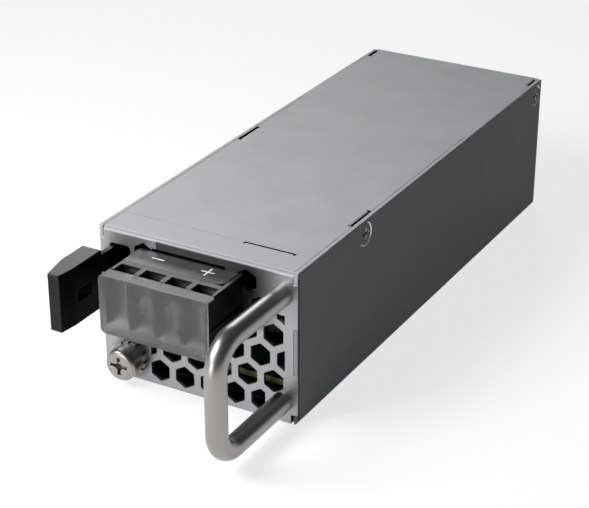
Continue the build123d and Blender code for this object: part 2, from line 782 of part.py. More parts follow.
# Terminal block: four bays open to the front and below, with a spigot through the panel
bay_high_z = block_high_z - bay_roof
pocket_low_z = block_low_z + contact_low
slit_low_z = block_low_z + spigot_low + 0.8
screw_bore = terminal_screw / 2 + running_gap
marker_x = (block_left + block_right - marker_inset) / 2
marker_width = block_right - marker_inset - block_left
marker_y = front_y - marker_inset / 2 - marker_depth / 2
with BuildPart() as terminal_block:
    with BuildSketch(across(front_y)):
        with Locations((block_offset, block_low_z + block_height / 2)):
            Rectangle(block_width, block_height)
    extrude(amount=block_depth)
    fillet(terminal_block.edges().filter_by(Axis.X).group_by(Axis.Y)[0].sort_by(Axis.Z)[-1], 0.5)
    with BuildSketch(across(front_y)):
        with Locations((spigot_x, (block_low_z + spigot_low + block_high_z - spigot_top_gap) / 2)):
            Rectangle(spigot_width, block_height - spigot_low - spigot_top_gap)
    extrude(amount=-spigot_depth)
    with BuildSketch(across(contact_y)):
        for x in bay_places:
            with Locations((x, (block_low_z + bay_high_z) / 2)):
                Rectangle(bay_width, bay_high_z - block_low_z)
    extrude(amount=bay_depth, mode=Mode.SUBTRACT)
    with BuildSketch(across(contact_y + busbar_thickness)):
        for outer, inner in pole_places.values():
            with Locations(((outer + inner) / 2, pocket_low_z + contact_height / 2)):
                Rectangle(contact_width + 2 * thread_clearance, contact_height + 2 * thread_clearance)
    extrude(amount=busbar_thickness, mode=Mode.SUBTRACT)
    with BuildSketch(level(block_high_z)):
        with Locations(*[(x, block_front_y + window_front + window_length / 2) for x in bay_places]):
            Rectangle(bay_width, window_length)
    extrude(amount=-2 * bay_roof, mode=Mode.SUBTRACT)
    with BuildSketch(level(block_high_z)):
        with Locations((block_offset, block_front_y + window_front / 2)):
            Rectangle(block_width, window_front)
    extrude(amount=-lip_step, mode=Mode.SUBTRACT)
    with BuildSketch(along(block_right)):
        with Locations((front_y - block_depth / 2, block_low_z + (side_recess_low + side_recess_high) / 2)):
            Rectangle(block_depth, side_recess_high - side_recess_low)
    extrude(amount=-side_recess, mode=Mode.SUBTRACT)
    with BuildSketch(across(contact_y + busbar_thickness)):
        for outer, inner in pole_places.values():
            with Locations((inner, slit_low_z + busbar_thickness / 2)):
                Rectangle(tongue_width + 2 * thread_clearance, busbar_thickness + 2 * thread_clearance)
    extrude(amount=-block_depth - spigot_depth, mode=Mode.SUBTRACT)
    with BuildSketch(across(contact_y + busbar_thickness)):
        for outer, inner in pole_places.values():
            with Locations((inner, screw_z)):
                Circle(screw_bore)
    extrude(amount=-terminal_bore_depth, mode=Mode.SUBTRACT)
    with BuildSketch(across(front_y)):
        with Locations(*[(x, block_screw_z) for x in block_screw_places]):
            Circle(block_screw / 2 + thread_clearance)
    extrude(amount=block_screw_depth, mode=Mode.SUBTRACT)
    with BuildSketch(level(block_high_z)):
        with Locations((marker_x + marker_groove / 2, marker_y)):
            Rectangle(marker_width + marker_groove, marker_depth + marker_groove)
    extrude(amount=-marker_thickness, mode=Mode.SUBTRACT)
write(terminal_block, "terminal_block")

# Marking plate let into the block's top
with BuildPart() as terminal_marker:
    with BuildSketch(level(block_high_z - marker_thickness)):
        with Locations((marker_x, marker_y)):
            Rectangle(marker_width, marker_depth)
        fillet(vertices().group_by(Axis.Y)[0].sort_by(Axis.X)[-1], marker_corner)
    extrude(amount=marker_thickness)
write(terminal_marker, "terminal_marker")

# Frosted cover over the screws: front wall, top lip, left wall, skirt and a short lower flange
cover_back_y = block_front_y - running_gap / 2
cover_left = block_left - running_gap / 2
cover_high_z = block_high_z
cover_low_z = block_low_z - cover_skirt
cover_middle_x = cover_left - cover_wall / 2
cover_middle_y = cover_back_y - cover_wall / 2
cover_lip_back_y = block_front_y + window_front - running_gap
cover_flange_back_y = cover_back_y + cover_flange
with BuildPart() as terminal_cover:
    with BuildSketch(level(cover_low_z)):
        with BuildLine():
            Polyline(
                (block_right, cover_back_y),
                (block_right, cover_back_y - cover_wall),
                (cover_left - cover_wall, cover_back_y - cover_wall),
                (cover_left - cover_wall, cover_back_y + cover_side_depth),
                (cover_left, cover_back_y + cover_side_depth),
                (cover_left, cover_back_y),
                close=True,
            )
        make_face()
    extrude(amount=cover_high_z - cover_low_z)
    for z, back_y in ((cover_high_z - cover_lip_thickness, cover_lip_back_y), (cover_low_z, cover_flange_back_y)):
        with BuildSketch(level(z)):
            with Locations(((cover_middle_x + block_right) / 2, (cover_middle_y + back_y) / 2)):
                Rectangle(block_right - cover_middle_x, back_y - cover_middle_y)
        extrude(amount=cover_lip_thickness)
    fillet(terminal_cover.edges().filter_by(Axis.Y).group_by(Axis.X)[0], cover_corner)
    with BuildSketch(level(cover_high_z)):
        for x in bay_places:
            with Locations((x - bay_pitch / 2, cover_back_y)):
                Rectangle(rib_width, rib_length)
    extrude(amount=rib_height)
write(terminal_cover, "terminal_cover")

# Terminal conductors: contact plate in the block, tongue through the spigot, foot on the board
contact_back_y = contact_y + busbar_thickness
foot_y = front_y + foot_from_front
for name, (outer, inner) in pole_places.items():
    with BuildPart() as busbar:
        with BuildSketch(across(contact_back_y)):
            with Locations(((outer + inner) / 2, pocket_low_z + contact_height / 2)):
                Rectangle(contact_width, contact_height)
        extrude(amount=busbar_thickness)
        with BuildSketch(along(inner - tongue_width / 2)):
            with BuildLine():
                Polyline(
                    (contact_back_y - busbar_thickness / 2, slit_low_z),
                    (foot_y - foot_length, slit_low_z),
                    (foot_y - foot_length, board_z),
                    (foot_y, board_z),
                    (foot_y, board_z + busbar_thickness),
                    (foot_y - foot_length + busbar_thickness, board_z + busbar_thickness),
                    (foot_y - foot_length + busbar_thickness, slit_low_z + busbar_thickness),
                    (contact_back_y - busbar_thickness / 2, slit_low_z + busbar_thickness),
                    close=True,
                )
            make_face()
        extrude(amount=tongue_width)
        with BuildSketch(across(contact_back_y)):
            with Locations((inner, screw_z)):
                Circle(terminal_screw / 2 + thread_clearance)
        extrude(amount=busbar_thickness, mode=Mode.SUBTRACT)
    write(busbar, f"{name}_busbar")

# Clamping plates and their screws
clamp_y = contact_y - clamp_gap
head_under_y = clamp_y - clamp_thickness - head_gap
terminal_fixing = pan_screw(terminal_screw, terminal_screw_length, terminal_head, terminal_head_height)
for name, (outer, inner) in pole_places.items():
    with BuildPart() as clamp:
        with BuildSketch(across(clamp_y)):
            with Locations((inner, screw_z)):
                Rectangle(clamp_width, clamp_height)
                Circle(terminal_screw / 2 + thread_clearance, mode=Mode.SUBTRACT)
        extrude(amount=clamp_thickness)
    write(clamp, f"{name}_clamp")
    with BuildPart() as screw:
        with Locations(to_front(inner, head_under_y, screw_z)):
            add(terminal_fixing)
    write(screw, f"{name}_screw")

block_fixing = pan_screw(block_screw, block_screw_depth, block_screw_head, terminal_head_height)
with BuildPart() as block_screws:
    with Locations(*[to_rear(x, front_y + sheet, block_screw_z) for x in block_screw_places]):
        add(block_fixing)
write(block_screws, "block_screws")

# Ground screw with its toothed lock washer and collar washer, in a nut clinched to the panel
collar_front_y = front_y - tooth_ring_thickness - collar_thickness
with BuildPart() as ground_lock_washer:
    with BuildSketch(to_front(ground_x, front_y, ground_z)):
        Circle(tooth_ring_diameter / 2)
        Circle(ground_screw_diameter / 2 + running_gap, mode=Mode.SUBTRACT)
        with PolarLocations(tooth_ring_diameter / 2, tooth_ring_teeth):
            Rectangle(tooth_notch_depth, tooth_notch_width, mode=Mode.SUBTRACT)
    extrude(amount=tooth_ring_thickness)
write(ground_lock_washer, "ground_lock_washer")

with BuildPart() as ground_washer:
    with BuildSketch(to_front(ground_x, front_y - tooth_ring_thickness, ground_z)):
        Circle(collar_diameter / 2)
        Circle(ground_screw_diameter / 2 + running_gap, mode=Mode.SUBTRACT)
    extrude(amount=collar_thickness)
write(ground_washer, "ground_washer")

ground_shank = front_y - collar_front_y + sheet + ground_nut_thickness + ground_tip
ground_fixing = pan_screw(ground_screw_diameter, ground_shank, ground_head, ground_head_height)
with BuildPart() as ground_screw:
    with Locations(to_front(ground_x, collar_front_y, ground_z)):
        add(ground_fixing)
write(ground_screw, "ground_screw")

with BuildPart() as ground_nut:
    with BuildSketch(across(front_y + sheet)):
        with Locations((ground_x, ground_z)):
            Circle(ground_nut_diameter / 2)
            Circle(ground_screw_diameter / 2 + thread_clearance, mode=Mode.SUBTRACT)
    extrude(amount=-ground_nut_thickness)
write(ground_nut, "ground_nut")

# Floor insulation, standoffs, main board with its contact edge, and the board's screws
with BuildPart() as insulating_sheet:
    with BuildSketch(level(sheet)):
        with Locations((0, board_front_gap / 2)):
            Rectangle(2 * (inner_x - insulation_inset), case_length - board_front_gap - 4 * sheet)
        with Locations(*board_screw_places):
            Circle(insulation_hole / 2, mode=Mode.SUBTRACT)
    extrude(amount=insulation_thickness)
write(insulating_sheet, "insulating_sheet")

with BuildPart() as standoffs:
    with BuildSketch(level(sheet)):
        with Locations(*board_screw_places):
            RegularPolygon(standoff_flats / 2, 6, major_radius=False)
            Circle(board_screw / 2 + thread_clearance, mode=Mode.SUBTRACT)
    extrude(amount=standoff_height)
write(standoffs, "standoffs")

board_front_y = front_y + sheet + board_front_gap
board_rear_y = rear_y - sheet - board_rear_gap
board_half = inner_x - board_side_gap
with BuildPart() as main_board:
    with BuildSketch(level(board_bottom_z)):
        with Locations((0, (board_front_y + board_rear_y) / 2)):
            Rectangle(2 * board_half, board_rear_y - board_front_y)
        with Locations((-board_half, board_front_y)):
            Rectangle(2 * notch_width, 2 * notch_length, mode=Mode.SUBTRACT)
        with Locations(*board_screw_places):
            Circle(board_screw / 2 + panel_room, mode=Mode.SUBTRACT)
    extrude(amount=board_thickness)
    with BuildSketch(level(board_bottom_z)):
        with Locations((0, (board_rear_y + rear_y + edge_length) / 2)):
            Rectangle(edge_width, rear_y + edge_length - board_rear_y)
        chamfer(vertices().group_by(Axis.Y)[-1], edge_chamfer)
    extrude(amount=board_thickness)
write(main_board, "main_board")

with BuildPart() as edge_contacts:
    pitch = power_contact_width + contact_pitch_gap
    for i in range(power_contacts):
        with BuildSketch(level(board_z)):
            with Locations((-edge_width / 2 + edge_chamfer + pitch * (i + 0.5), rear_y + edge_length / 2)):
                Rectangle(power_contact_width, contact_length)
        extrude(amount=contact_thickness)
    pitch = signal_contact_width + contact_pitch_gap
    for i in range(signal_contacts):
        with BuildSketch(level(board_z)):
            with Locations((edge_width / 2 - edge_chamfer - pitch * (i + 0.5), rear_y + edge_length / 2)):
                Rectangle(signal_contact_width, contact_length)
        extrude(amount=contact_thickness)
write(edge_contacts, "edge_contacts")

board_fixing = pan_screw(board_screw, board_screw_length, board_screw_head, board_screw_head_height)
with BuildPart() as board_screws:
    with Locations(*[(x, y, board_z) for x, y in board_screw_places]):
        add(board_fixing)
write(board_screws, "board_screws")

# Input fuse on the board with its two end caps
fuse_y = front_y + fuse_from_front
fuse_z = board_z + fuse_cap_diameter / 2 + panel_room
with BuildPart() as input_fuse:
    with BuildSketch(across(fuse_y + fuse_length / 2 - fuse_cap_length)):
        with Locations((fuse_x, fuse_z)):
            Circle(fuse_diameter / 2)
    extrude(amount=fuse_length - 2 * fuse_cap_length)
write(input_fuse, "input_fuse")

with BuildPart() as fuse_caps:
    for end in (-1, 1):
        middle = fuse_y + end * (fuse_length - fuse_cap_length) / 2
        with BuildSketch(across(middle + fuse_cap_length / 2)):
            with Locations((fuse_x, fuse_z)):
                Circle(fuse_cap_diameter / 2)
            with Locations((fuse_x, (board_z + fuse_z) / 2)):
                Rectangle(fuse_lead_width, fuse_z - board_z)
        extrude(amount=fuse_cap_length)
write(fuse_caps, "fuse_caps")

# Common-mode ring choke: core lying on the board with two wound halves
ring_y = front_y + ring_from_front
ring_low_z = board_z + turn_wire + 2 * turn_room
with BuildPart() as filter_core:
    with BuildSketch(level(ring_low_z)):
        with Locations((ring_x, ring_y)):
            Circle(ring_outer / 2)
            Circle(ring_inner / 2, mode=Mode.SUBTRACT)
    extrude(amount=ring_height)
    fillet(filter_core.edges().filter_by(GeomType.CIRCLE), can_edge)
write(filter_core, "filter_core")

turn_inner = ring_inner / 2 - turn_wire / 2 - turn_room
turn_outer = ring_outer / 2 + turn_wire / 2 + turn_room
turn_low = ring_low_z - turn_wire / 2 - turn_room
turn_high = ring_low_z + ring_height + turn_wire / 2 + turn_room
with BuildPart() as turn:
    with BuildSketch(Plane.XZ):
        with Locations(((turn_inner + turn_outer) / 2, (turn_low + turn_high) / 2)):
            RectangleRounded(turn_outer - turn_inner + turn_wire, turn_high - turn_low + turn_wire, turn_wire)
            Rectangle(turn_outer - turn_inner - turn_wire, turn_high - turn_low - turn_wire, mode=Mode.SUBTRACT)
    extrude(amount=turn_wire / 2, both=True)
with BuildPart() as filter_winding:
    for middle in winding_angles:
        for i in range(turns_each_side):
            angle = middle + (i - (turns_each_side - 1) / 2) * turn_angle
            with Locations(Location((ring_x, ring_y, 0), (0, 0, angle))):
                add(turn.part)
write(filter_winding, "filter_winding")

# Film capacitors, bulk capacitors and output capacitors
with BuildPart() as filter_capacitors:
    with BuildSketch(level(board_z)):
        with Locations((-film_x, front_y + film_from_front), (film_x, front_y + film_from_front)):
            RectangleRounded(film_width, film_length, can_edge)
    extrude(amount=film_height)
write(filter_capacitors, "filter_capacitors")

bulk_places = [(i * bulk_pitch, front_y + bulk_from_front) for i in (-1, 0, 1)]
bulk_capacitors = can_capacitors(bulk_places, bulk_diameter, bulk_height)
write(bulk_capacitors, "bulk_capacitors")

can_places = [(can_x + (i - (can_count - 1) / 2) * can_pitch, rear_y - can_from_rear) for i in range(can_count)]
output_capacitors = can_capacitors(can_places, can_diameter, can_height)
write(output_capacitors, "output_capacitors")

# Transformer and output choke
transformer = (0, rear_y - core_from_rear, core_width, core_depth, core_height, core_back, core_leg, core_post)
transformer_core = e_core(*transformer)
write(transformer_core, "transformer_core")
transformer_winding = winding(*transformer, winding_overhang)
write(transformer_winding, "transformer_winding")

choke = (0, rear_y - choke_from_rear, choke_width, choke_depth, choke_height, choke_back, choke_leg, choke_post)
output_choke_core = e_core(*choke)
write(output_choke_core, "output_choke_core")
output_choke_winding = winding(*choke, choke_overhang)
write(output_choke_winding, "output_choke_winding")

# Heatsinks along both walls with the power devices against them
primary_heatsink = heatsink(1)
write(primary_heatsink, "primary_heatsink")
primary_transistors = power_devices(1)
write(primary_transistors, "primary_transistors")
secondary_heatsink = heatsink(-1)
write(secondary_heatsink, "secondary_heatsink")
rectifiers = power_devices(-1)
write(rectifiers, "rectifiers")

# Upright control card with its header and chips
card_y = rear_y - card_from_rear
with BuildPart() as control_board:
    with BuildSketch(along(card_x)):
        with Locations((card_y, board_z + card_height / 2)):
            Rectangle(card_length, card_height)
    extrude(amount=-card_thickness)
write(control_board, "control_board")

with BuildPart() as control_header:
    with BuildSketch(level(board_z)):
        with Locations((card_x - card_thickness - header_width / 2, card_y)):
            Rectangle(header_width, header_length)
    extrude(amount=header_height)
write(control_header, "control_header")

with BuildPart() as control_chips:
    with BuildSketch(along(card_x - card_thickness)):
        for end in (-1, 1):
            with Locations((card_y + end * chip_spacing / 2, board_z + chip_z)):
                Rectangle(chip_size, chip_size)
    extrude(amount=-chip_thickness)
write(control_chips, "control_chips")
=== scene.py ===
"""Finishes, light and camera for a slide-in rack power supply. Metres, in the CAD frame."""

import json

import bpy
import numpy as np
from mathutils import Matrix, Vector


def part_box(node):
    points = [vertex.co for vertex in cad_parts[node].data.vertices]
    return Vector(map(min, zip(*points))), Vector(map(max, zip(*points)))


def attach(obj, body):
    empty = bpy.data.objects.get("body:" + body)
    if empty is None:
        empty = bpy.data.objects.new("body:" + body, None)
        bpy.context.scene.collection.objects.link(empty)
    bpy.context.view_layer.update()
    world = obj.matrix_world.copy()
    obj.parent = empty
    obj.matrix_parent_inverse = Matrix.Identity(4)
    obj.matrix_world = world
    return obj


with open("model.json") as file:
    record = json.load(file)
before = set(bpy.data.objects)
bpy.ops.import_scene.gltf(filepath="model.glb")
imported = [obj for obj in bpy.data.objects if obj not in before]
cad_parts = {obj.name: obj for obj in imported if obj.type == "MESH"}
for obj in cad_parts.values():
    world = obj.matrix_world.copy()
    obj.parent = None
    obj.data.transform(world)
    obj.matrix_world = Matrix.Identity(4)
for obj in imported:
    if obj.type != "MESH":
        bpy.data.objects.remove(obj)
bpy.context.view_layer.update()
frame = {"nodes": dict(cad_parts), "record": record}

MM = 0.001
# Noise that is the same size along each axis, how many octaves a fine noise has, and the span in which
# nearly all of a noise's values lie
EVEN, FINE, NOISE_SPAN = (1, 1, 1), 3.0, (0.3, 0.7)
# Samples of a rounded edge's normal, and how quickly a turned normal counts as an edge
EDGE_SAMPLES, EDGE_GAIN = 6, 3.0
# A Mix node's sockets when it mixes colours
FACTOR, FIRST_COLOUR, SECOND_COLOUR, MIXED_COLOUR = 0, 6, 7, 2


class Value:
    """A number, colour or vector that comes out of a node. Arithmetic on it adds Math nodes."""

    def __init__(self, finish, socket):
        self.finish = finish
        self.socket = socket

    def _math(self, operation, first, second=0.0, clamp=False):
        settings = {"operation": operation, "use_clamp": clamp}
        return self.finish.node("ShaderNodeMath", settings, {0: first, 1: second})

    def __add__(self, other):
        return self._math("ADD", self, other)

    def __radd__(self, other):
        return self._math("ADD", other, self)

    def __sub__(self, other):
        return self._math("SUBTRACT", self, other)

    def __rsub__(self, other):
        return self._math("SUBTRACT", other, self)

    def __mul__(self, other):
        return self._math("MULTIPLY", self, other)

    def __rmul__(self, other):
        return self._math("MULTIPLY", other, self)

    def __truediv__(self, other):
        return self._math("DIVIDE", self, other)

    def __rtruediv__(self, other):
        return self._math("DIVIDE", other, self)

    def __pow__(self, other):
        return self._math("POWER", self, other)

    def __rpow__(self, other):
        return self._math("POWER", other, self)

    def __abs__(self):
        return self._math("ABSOLUTE", self)

    def clamped(self):
        """The value held between 0 and 1."""
        return self._math("ADD", self, clamp=True)


class Finish:
    """One procedural material: its node tree and the main shader that the tree feeds."""

    def __init__(self, name, **fixed):
        self.material = bpy.data.materials.new(name)
        self.material.use_nodes = True
        self.tree = self.material.node_tree
        self.tree.nodes.clear()
        self.shader = self.tree.nodes.new("ShaderNodeBsdfPrincipled")
        self.result = self.tree.nodes.new("ShaderNodeOutputMaterial")
        self.tree.links.new(self.shader.outputs["BSDF"], self.result.inputs["Surface"])
        self.place = self.node("ShaderNodeTexCoord", output="Object")
        for socket, number in fixed.items():
            self.set(socket.replace("_", " "), number)

    def node(self, kind, settings=None, inputs=None, output=0):
        """Adds one node, sets it up, fills its sockets and returns one of its outputs."""
        made = self.tree.nodes.new(kind)
        for key, setting in (settings or {}).items():
            setattr(made, key, setting)
        for key, given in (inputs or {}).items():
            self._fill(made.inputs[key], given)
        return Value(self, made.outputs[output])

    def _fill(self, socket, given):
        if isinstance(given, Value):
            self.tree.links.new(given.socket, socket)
        elif socket.type == "RGBA" and len(given) == 3:
            socket.default_value = (*given, 1.0)
        else:
            socket.default_value = given

    def set(self, socket, given):
        """Fills a socket of the main shader."""
        self._fill(self.shader.inputs[socket], given)

    def noise(self, size, detail=2.0, stretch=EVEN, roughness=0.5):
        """Noise from 0 to 1 with features of about size millimetres, longer along a small stretch."""
        placed = self.node("ShaderNodeMapping", None, {"Vector": self.place, "Scale": stretch})
        inputs = {"Vector": placed, "Scale": 1 / (size * MM), "Detail": detail, "Roughness": roughness}
        return self.node("ShaderNodeTexNoise", None, inputs, "Fac")

    def cells(self, size, distance="EUCLIDEAN", randomness=1.0):
        """Distance from the middle of cells of about size millimetres."""
        inputs = {"Vector": self.place, "Scale": 1 / (size * MM), "Randomness": randomness}
        settings = {"feature": "F1", "distance": distance}
        return self.node("ShaderNodeTexVoronoi", settings, inputs, "Distance")

    def between(self, amount, low, high, over=(0.0, 1.0)):
        """Number that runs from low to high while amount runs over a range, and stays put past it."""
        start, end = over
        inputs = {"Value": amount, "From Min": start, "From Max": end, "To Min": low, "To Max": high}
        return self.node("ShaderNodeMapRange", {"clamp": True}, inputs, "Result")

    def blend(self, amount, first, second):
        """Colour that runs from first to second with amount."""
        settings = {"data_type": "RGBA", "blend_type": "MIX"}
        inputs = {FACTOR: amount, FIRST_COLOUR: first, SECOND_COLOUR: second}
        return self.node("ShaderNodeMix", settings, inputs, MIXED_COLOUR)

    def rounded(self, radius):
        """Normal that looks as if sharp edges had a small round, radius in millimetres."""
        return self.node("ShaderNodeBevel", {"samples": EDGE_SAMPLES}, {"Radius": radius * MM})

    def edges(self, radius):
        """1 on edges and 0 on flats: how far the rounded normal turns from the face's own."""
        true = self.node("ShaderNodeNewGeometry", output="True Normal")
        settings = {"operation": "DOT_PRODUCT"}
        same = self.node("ShaderNodeVectorMath", settings, {0: self.rounded(radius), 1: true}, "Value")
        return ((1.0 - same) * EDGE_GAIN).clamped()

    def bump(self, height, depth, strength, edge_radius=None):
        """Feeds a height from 0 to 1 into the shader's normal, over rounded edges where they are given.
        Depth and radius are in millimetres."""
        inputs = {"Height": height, "Distance": depth * MM, "Strength": strength}
        if edge_radius is not None:
            inputs["Normal"] = self.rounded(edge_radius)
        self.set("Normal", self.node("ShaderNodeBump", None, inputs))

    def facing(self, axis):
        """One coordinate of the surface's own direction, from -1 to 1."""
        direction = self.node("ShaderNodeNewGeometry", output="Normal")
        return self.node("ShaderNodeSeparateXYZ", None, {"Vector": direction}, axis)

    def millimetres(self, axis):
        """One coordinate of the surface point, in millimetres."""
        return self.node("ShaderNodeSeparateXYZ", None, {"Vector": self.place}, axis) / MM

    def within(self, axis, low, high, blur=0.03):
        """1 where one coordinate lies between low and high, in millimetres, and 0 past blur outside."""
        middle, half = (low + high) / 2, (high - low) / 2
        return self.between(abs(self.millimetres(axis) - middle), 1.0, 0.0, (half, half + blur))


def toned(colour, factor):
    """Lighter or darker version of a colour, held at white."""
    return [min(1.0, channel * factor) for channel in colour]


def weighed(first, second, share):
    """Sum of two values, in which the second has this share and the first has the rest."""
    return first * (1 - share) + second * share


# Places on the sheets, in millimetres from low to high along each axis.
# The slot behind the lip, which takes the tucked tab
SLOT_X, SLOT_Y, SLOT_Z = (8.0, 22.2), (-64.5, -63.2), (38.0, 39.93)
# The case's inside, up to the inner faces of its sheets. At the side walls the shade ends more sharply
INSIDE_X, INSIDE_Y, INSIDE_Z, INSIDE_BLUR = (-26.26, 26.26), (-71.4, 71.4), (0.9, 39.87), 0.01
# The recesses of the cover's screws, which lie outside SCREWS_IN across
SCREWS_Y, SCREWS_Z, SCREWS_IN = (-60.0, 71.4), (32.5, 38.9), (-26.7, 26.7)
# The earthing screw's axis and the ring round it, from where its shade is full to where it ends
EARTHING_X, EARTHING_Z, EARTHING_RING = -19.25, 6.0, (3.9, 6.2)
# The panel behind the terminal block: the shade comes on, then fades out past the block's right side
BLOCK_START, BLOCK_FADE, BLOCK_Z, BLOCK_BLUR = (-11.4, -11.0), (15.0, 23.0), (24.0, 38.8), 1.5
# The panel's thickness, where the vents' walls are, and the height of the lip's fold
VENTS_Y, FOLD_Z = (-72.45, -71.45), (38.5, 40.1)
# How dim the ring, the panel behind the block, the vents' walls and the fold's line are, from 0 to 1
RING_DIM, BLOCK_DIM, VENTS_DIM, FOLD_DIM = 0.8, 0.85, 0.7, 0.45

# Ranges of a surface's direction: forward is towards -1 in Y, and sideways is 1
FULLY_FORWARD, PARTLY_FORWARD, SIDEWAYS = (-0.995, -0.9), (-0.9, -0.5), (0.8, 0.9)
# The fold's line lies where the direction is this far forward, and ends over FOLD_SPREAD from it
FOLD_FORWARD, FOLD_SPREAD = 0.72, (0.05, 0.2)

# Colours of the painted deep shade, of the painted soft shade, and of the bare metal painted bright as a
# highlight in the screws' recesses
DEEP_SHADE, SOFT_SHADE, BARE_METAL_HIGHLIGHT = (0.01, 0.01, 0.01), (0.02, 0.02, 0.02), (0.9, 0.9, 0.88)


def deep_inside(finish):
    """1 on the case's inner surfaces and 0 on its outer ones."""
    across = finish.within("X", *INSIDE_X, INSIDE_BLUR)
    return across * finish.within("Y", *INSIDE_Y) * finish.within("Z", *INSIDE_Z)


def tab_slot(finish):
    """1 in the slot that takes the tucked tab."""
    return finish.within("X", *SLOT_X) * finish.within("Y", *SLOT_Y) * finish.within("Z", *SLOT_Z)


def screw_recesses(finish):
    """1 on the slopes of the recesses for the cover's screws, and 0 on the flat walls round them."""
    slopes = finish.between(abs(finish.facing("X")), 1.0, 0.0, SIDEWAYS)
    band = finish.within("Z", *SCREWS_Z) * finish.within("Y", *SCREWS_Y)
    return slopes * band * (1.0 - finish.within("X", *SCREWS_IN))


def dim_places(finish, front):
    """How dim a place is, from 0 to 1. On the panel's front face, which front marks, that is round the
    earthing screw and behind the terminal block. Elsewhere it is in the vents and along the lip's fold."""
    across, up = finish.millimetres("X"), finish.millimetres("Z")
    off_axis = ((across - EARTHING_X) ** 2 + (up - EARTHING_Z) ** 2) ** 0.5
    ring = finish.between(off_axis, RING_DIM, 0.0, EARTHING_RING) * front
    coming = finish.between(across, 0.0, 1.0, BLOCK_START)
    fading = finish.between(across, BLOCK_DIM, 0.0, BLOCK_FADE)
    behind_block = coming * fading * finish.within("Z", *BLOCK_Z, BLOCK_BLUR) * front
    forward = finish.facing("Y")
    fold = finish.within("Z", *FOLD_Z)
    vent_walls = finish.within("Y", *VENTS_Y) * finish.between(forward, 0.0, VENTS_DIM, PARTLY_FORWARD)
    fold_line = finish.between(abs(forward + FOLD_FORWARD), FOLD_DIM, 0.0, FOLD_SPREAD) * fold
    return (ring + behind_block + vent_walls * (1.0 - fold) + fold_line).clamped()


def coated_sheet(name, dark, light, fleck_size, roughness, face_shine=0.0):
    """Folded sheet with a grey metallic coat: fine flecks, faint mottling, edges painted lighter as wear
    and as a highlight, bare metal painted bright as a highlight in the recesses of the cover's screws, and
    painted shade where little light comes.

    face_shine makes the faces that look to the front more like bare satin metal."""
    mottle_size, grain_size, edge_size, edge_wear_and_highlight = 9.0, 0.35, 0.25, 0.15
    light_flecks, metal_flecks, most_metal = (0.32, 0.68), (0.45, 0.7), 0.12
    satin_roughness, bare_polish, mottled_roughness = 0.36, 0.4, 0.04
    finish = Finish(name, IOR=1.45, Specular_IOR_Level=0.2)
    fleck = finish.noise(fleck_size, FINE, roughness=0.7)
    mottle = finish.noise(mottle_size, FINE)
    front = finish.between(finish.facing("Y"), 1.0, 0.0, FULLY_FORWARD) * face_shine
    plain = 1.0 - front
    inside = deep_inside(finish)
    # Bare metal on the slopes of the screws' recesses, painted bright as a highlight
    bare = screw_recesses(finish) * (1.0 - inside)

    sheen = finish.between(weighed(fleck, mottle, 0.25), 0.0, 1.0, light_flecks) * plain + front
    coat = finish.blend(sheen, dark, light)
    # Edges painted lighter, partly as wear and partly as a highlight
    lit = finish.blend(finish.edges(edge_size) * edge_wear_and_highlight, coat, toned(light, 1.5))
    shaded = finish.blend((tab_slot(finish) + inside).clamped(), lit, DEEP_SHADE)
    dimmed = finish.blend(dim_places(finish, front), shaded, SOFT_SHADE)
    finish.set("Base Color", finish.blend(bare, dimmed, BARE_METAL_HIGHLIGHT))

    flecked_roughness = finish.between(fleck, roughness - 0.06, roughness + 0.08, NOISE_SPAN)
    coat_roughness = flecked_roughness + mottle * mottled_roughness
    finish.set("Roughness", (coat_roughness * plain + front * satin_roughness) * (1.0 - bare * bare_polish))
    sparkle = finish.between(fleck, 0.0, most_metal, metal_flecks) * plain
    finish.set("Metallic", (sparkle + front + bare).clamped())
    relief = weighed(fleck, finish.noise(grain_size), 0.4) * plain
    finish.bump(relief, depth=0.012, strength=0.5, edge_radius=0.2)
    return finish.material


def plated_metal(name, colour, roughness, size=0.5, stretch=EVEN, depth=0.004, spread=0.15):
    """Plated or bare metal: fine tool lines, faint cloudiness and softened edges.

    size is the lines' width in millimetres, and spread is how far colour and roughness vary."""
    cloud_size = 3.0
    finish = Finish(name, Metallic=1.0)
    lines = finish.noise(size, FINE, stretch, roughness=0.65)
    tone = finish.between(weighed(lines, finish.noise(cloud_size), 0.4), 0.0, 1.0, NOISE_SPAN)
    worn, clean = toned(colour, 1.0 - spread), toned(colour, 1.0 + spread / 2)
    finish.set("Base Color", finish.blend(tone, worn, clean))
    finish.set("Roughness", finish.between(tone, roughness - spread / 3, roughness + spread / 3))
    finish.bump(lines, depth, strength=0.6, edge_radius=0.12)
    return finish.material


# Ends of a fade along X, in millimetres, that lies past the whole part, so that nothing thins out
NO_FADE = (90.0, 91.0)


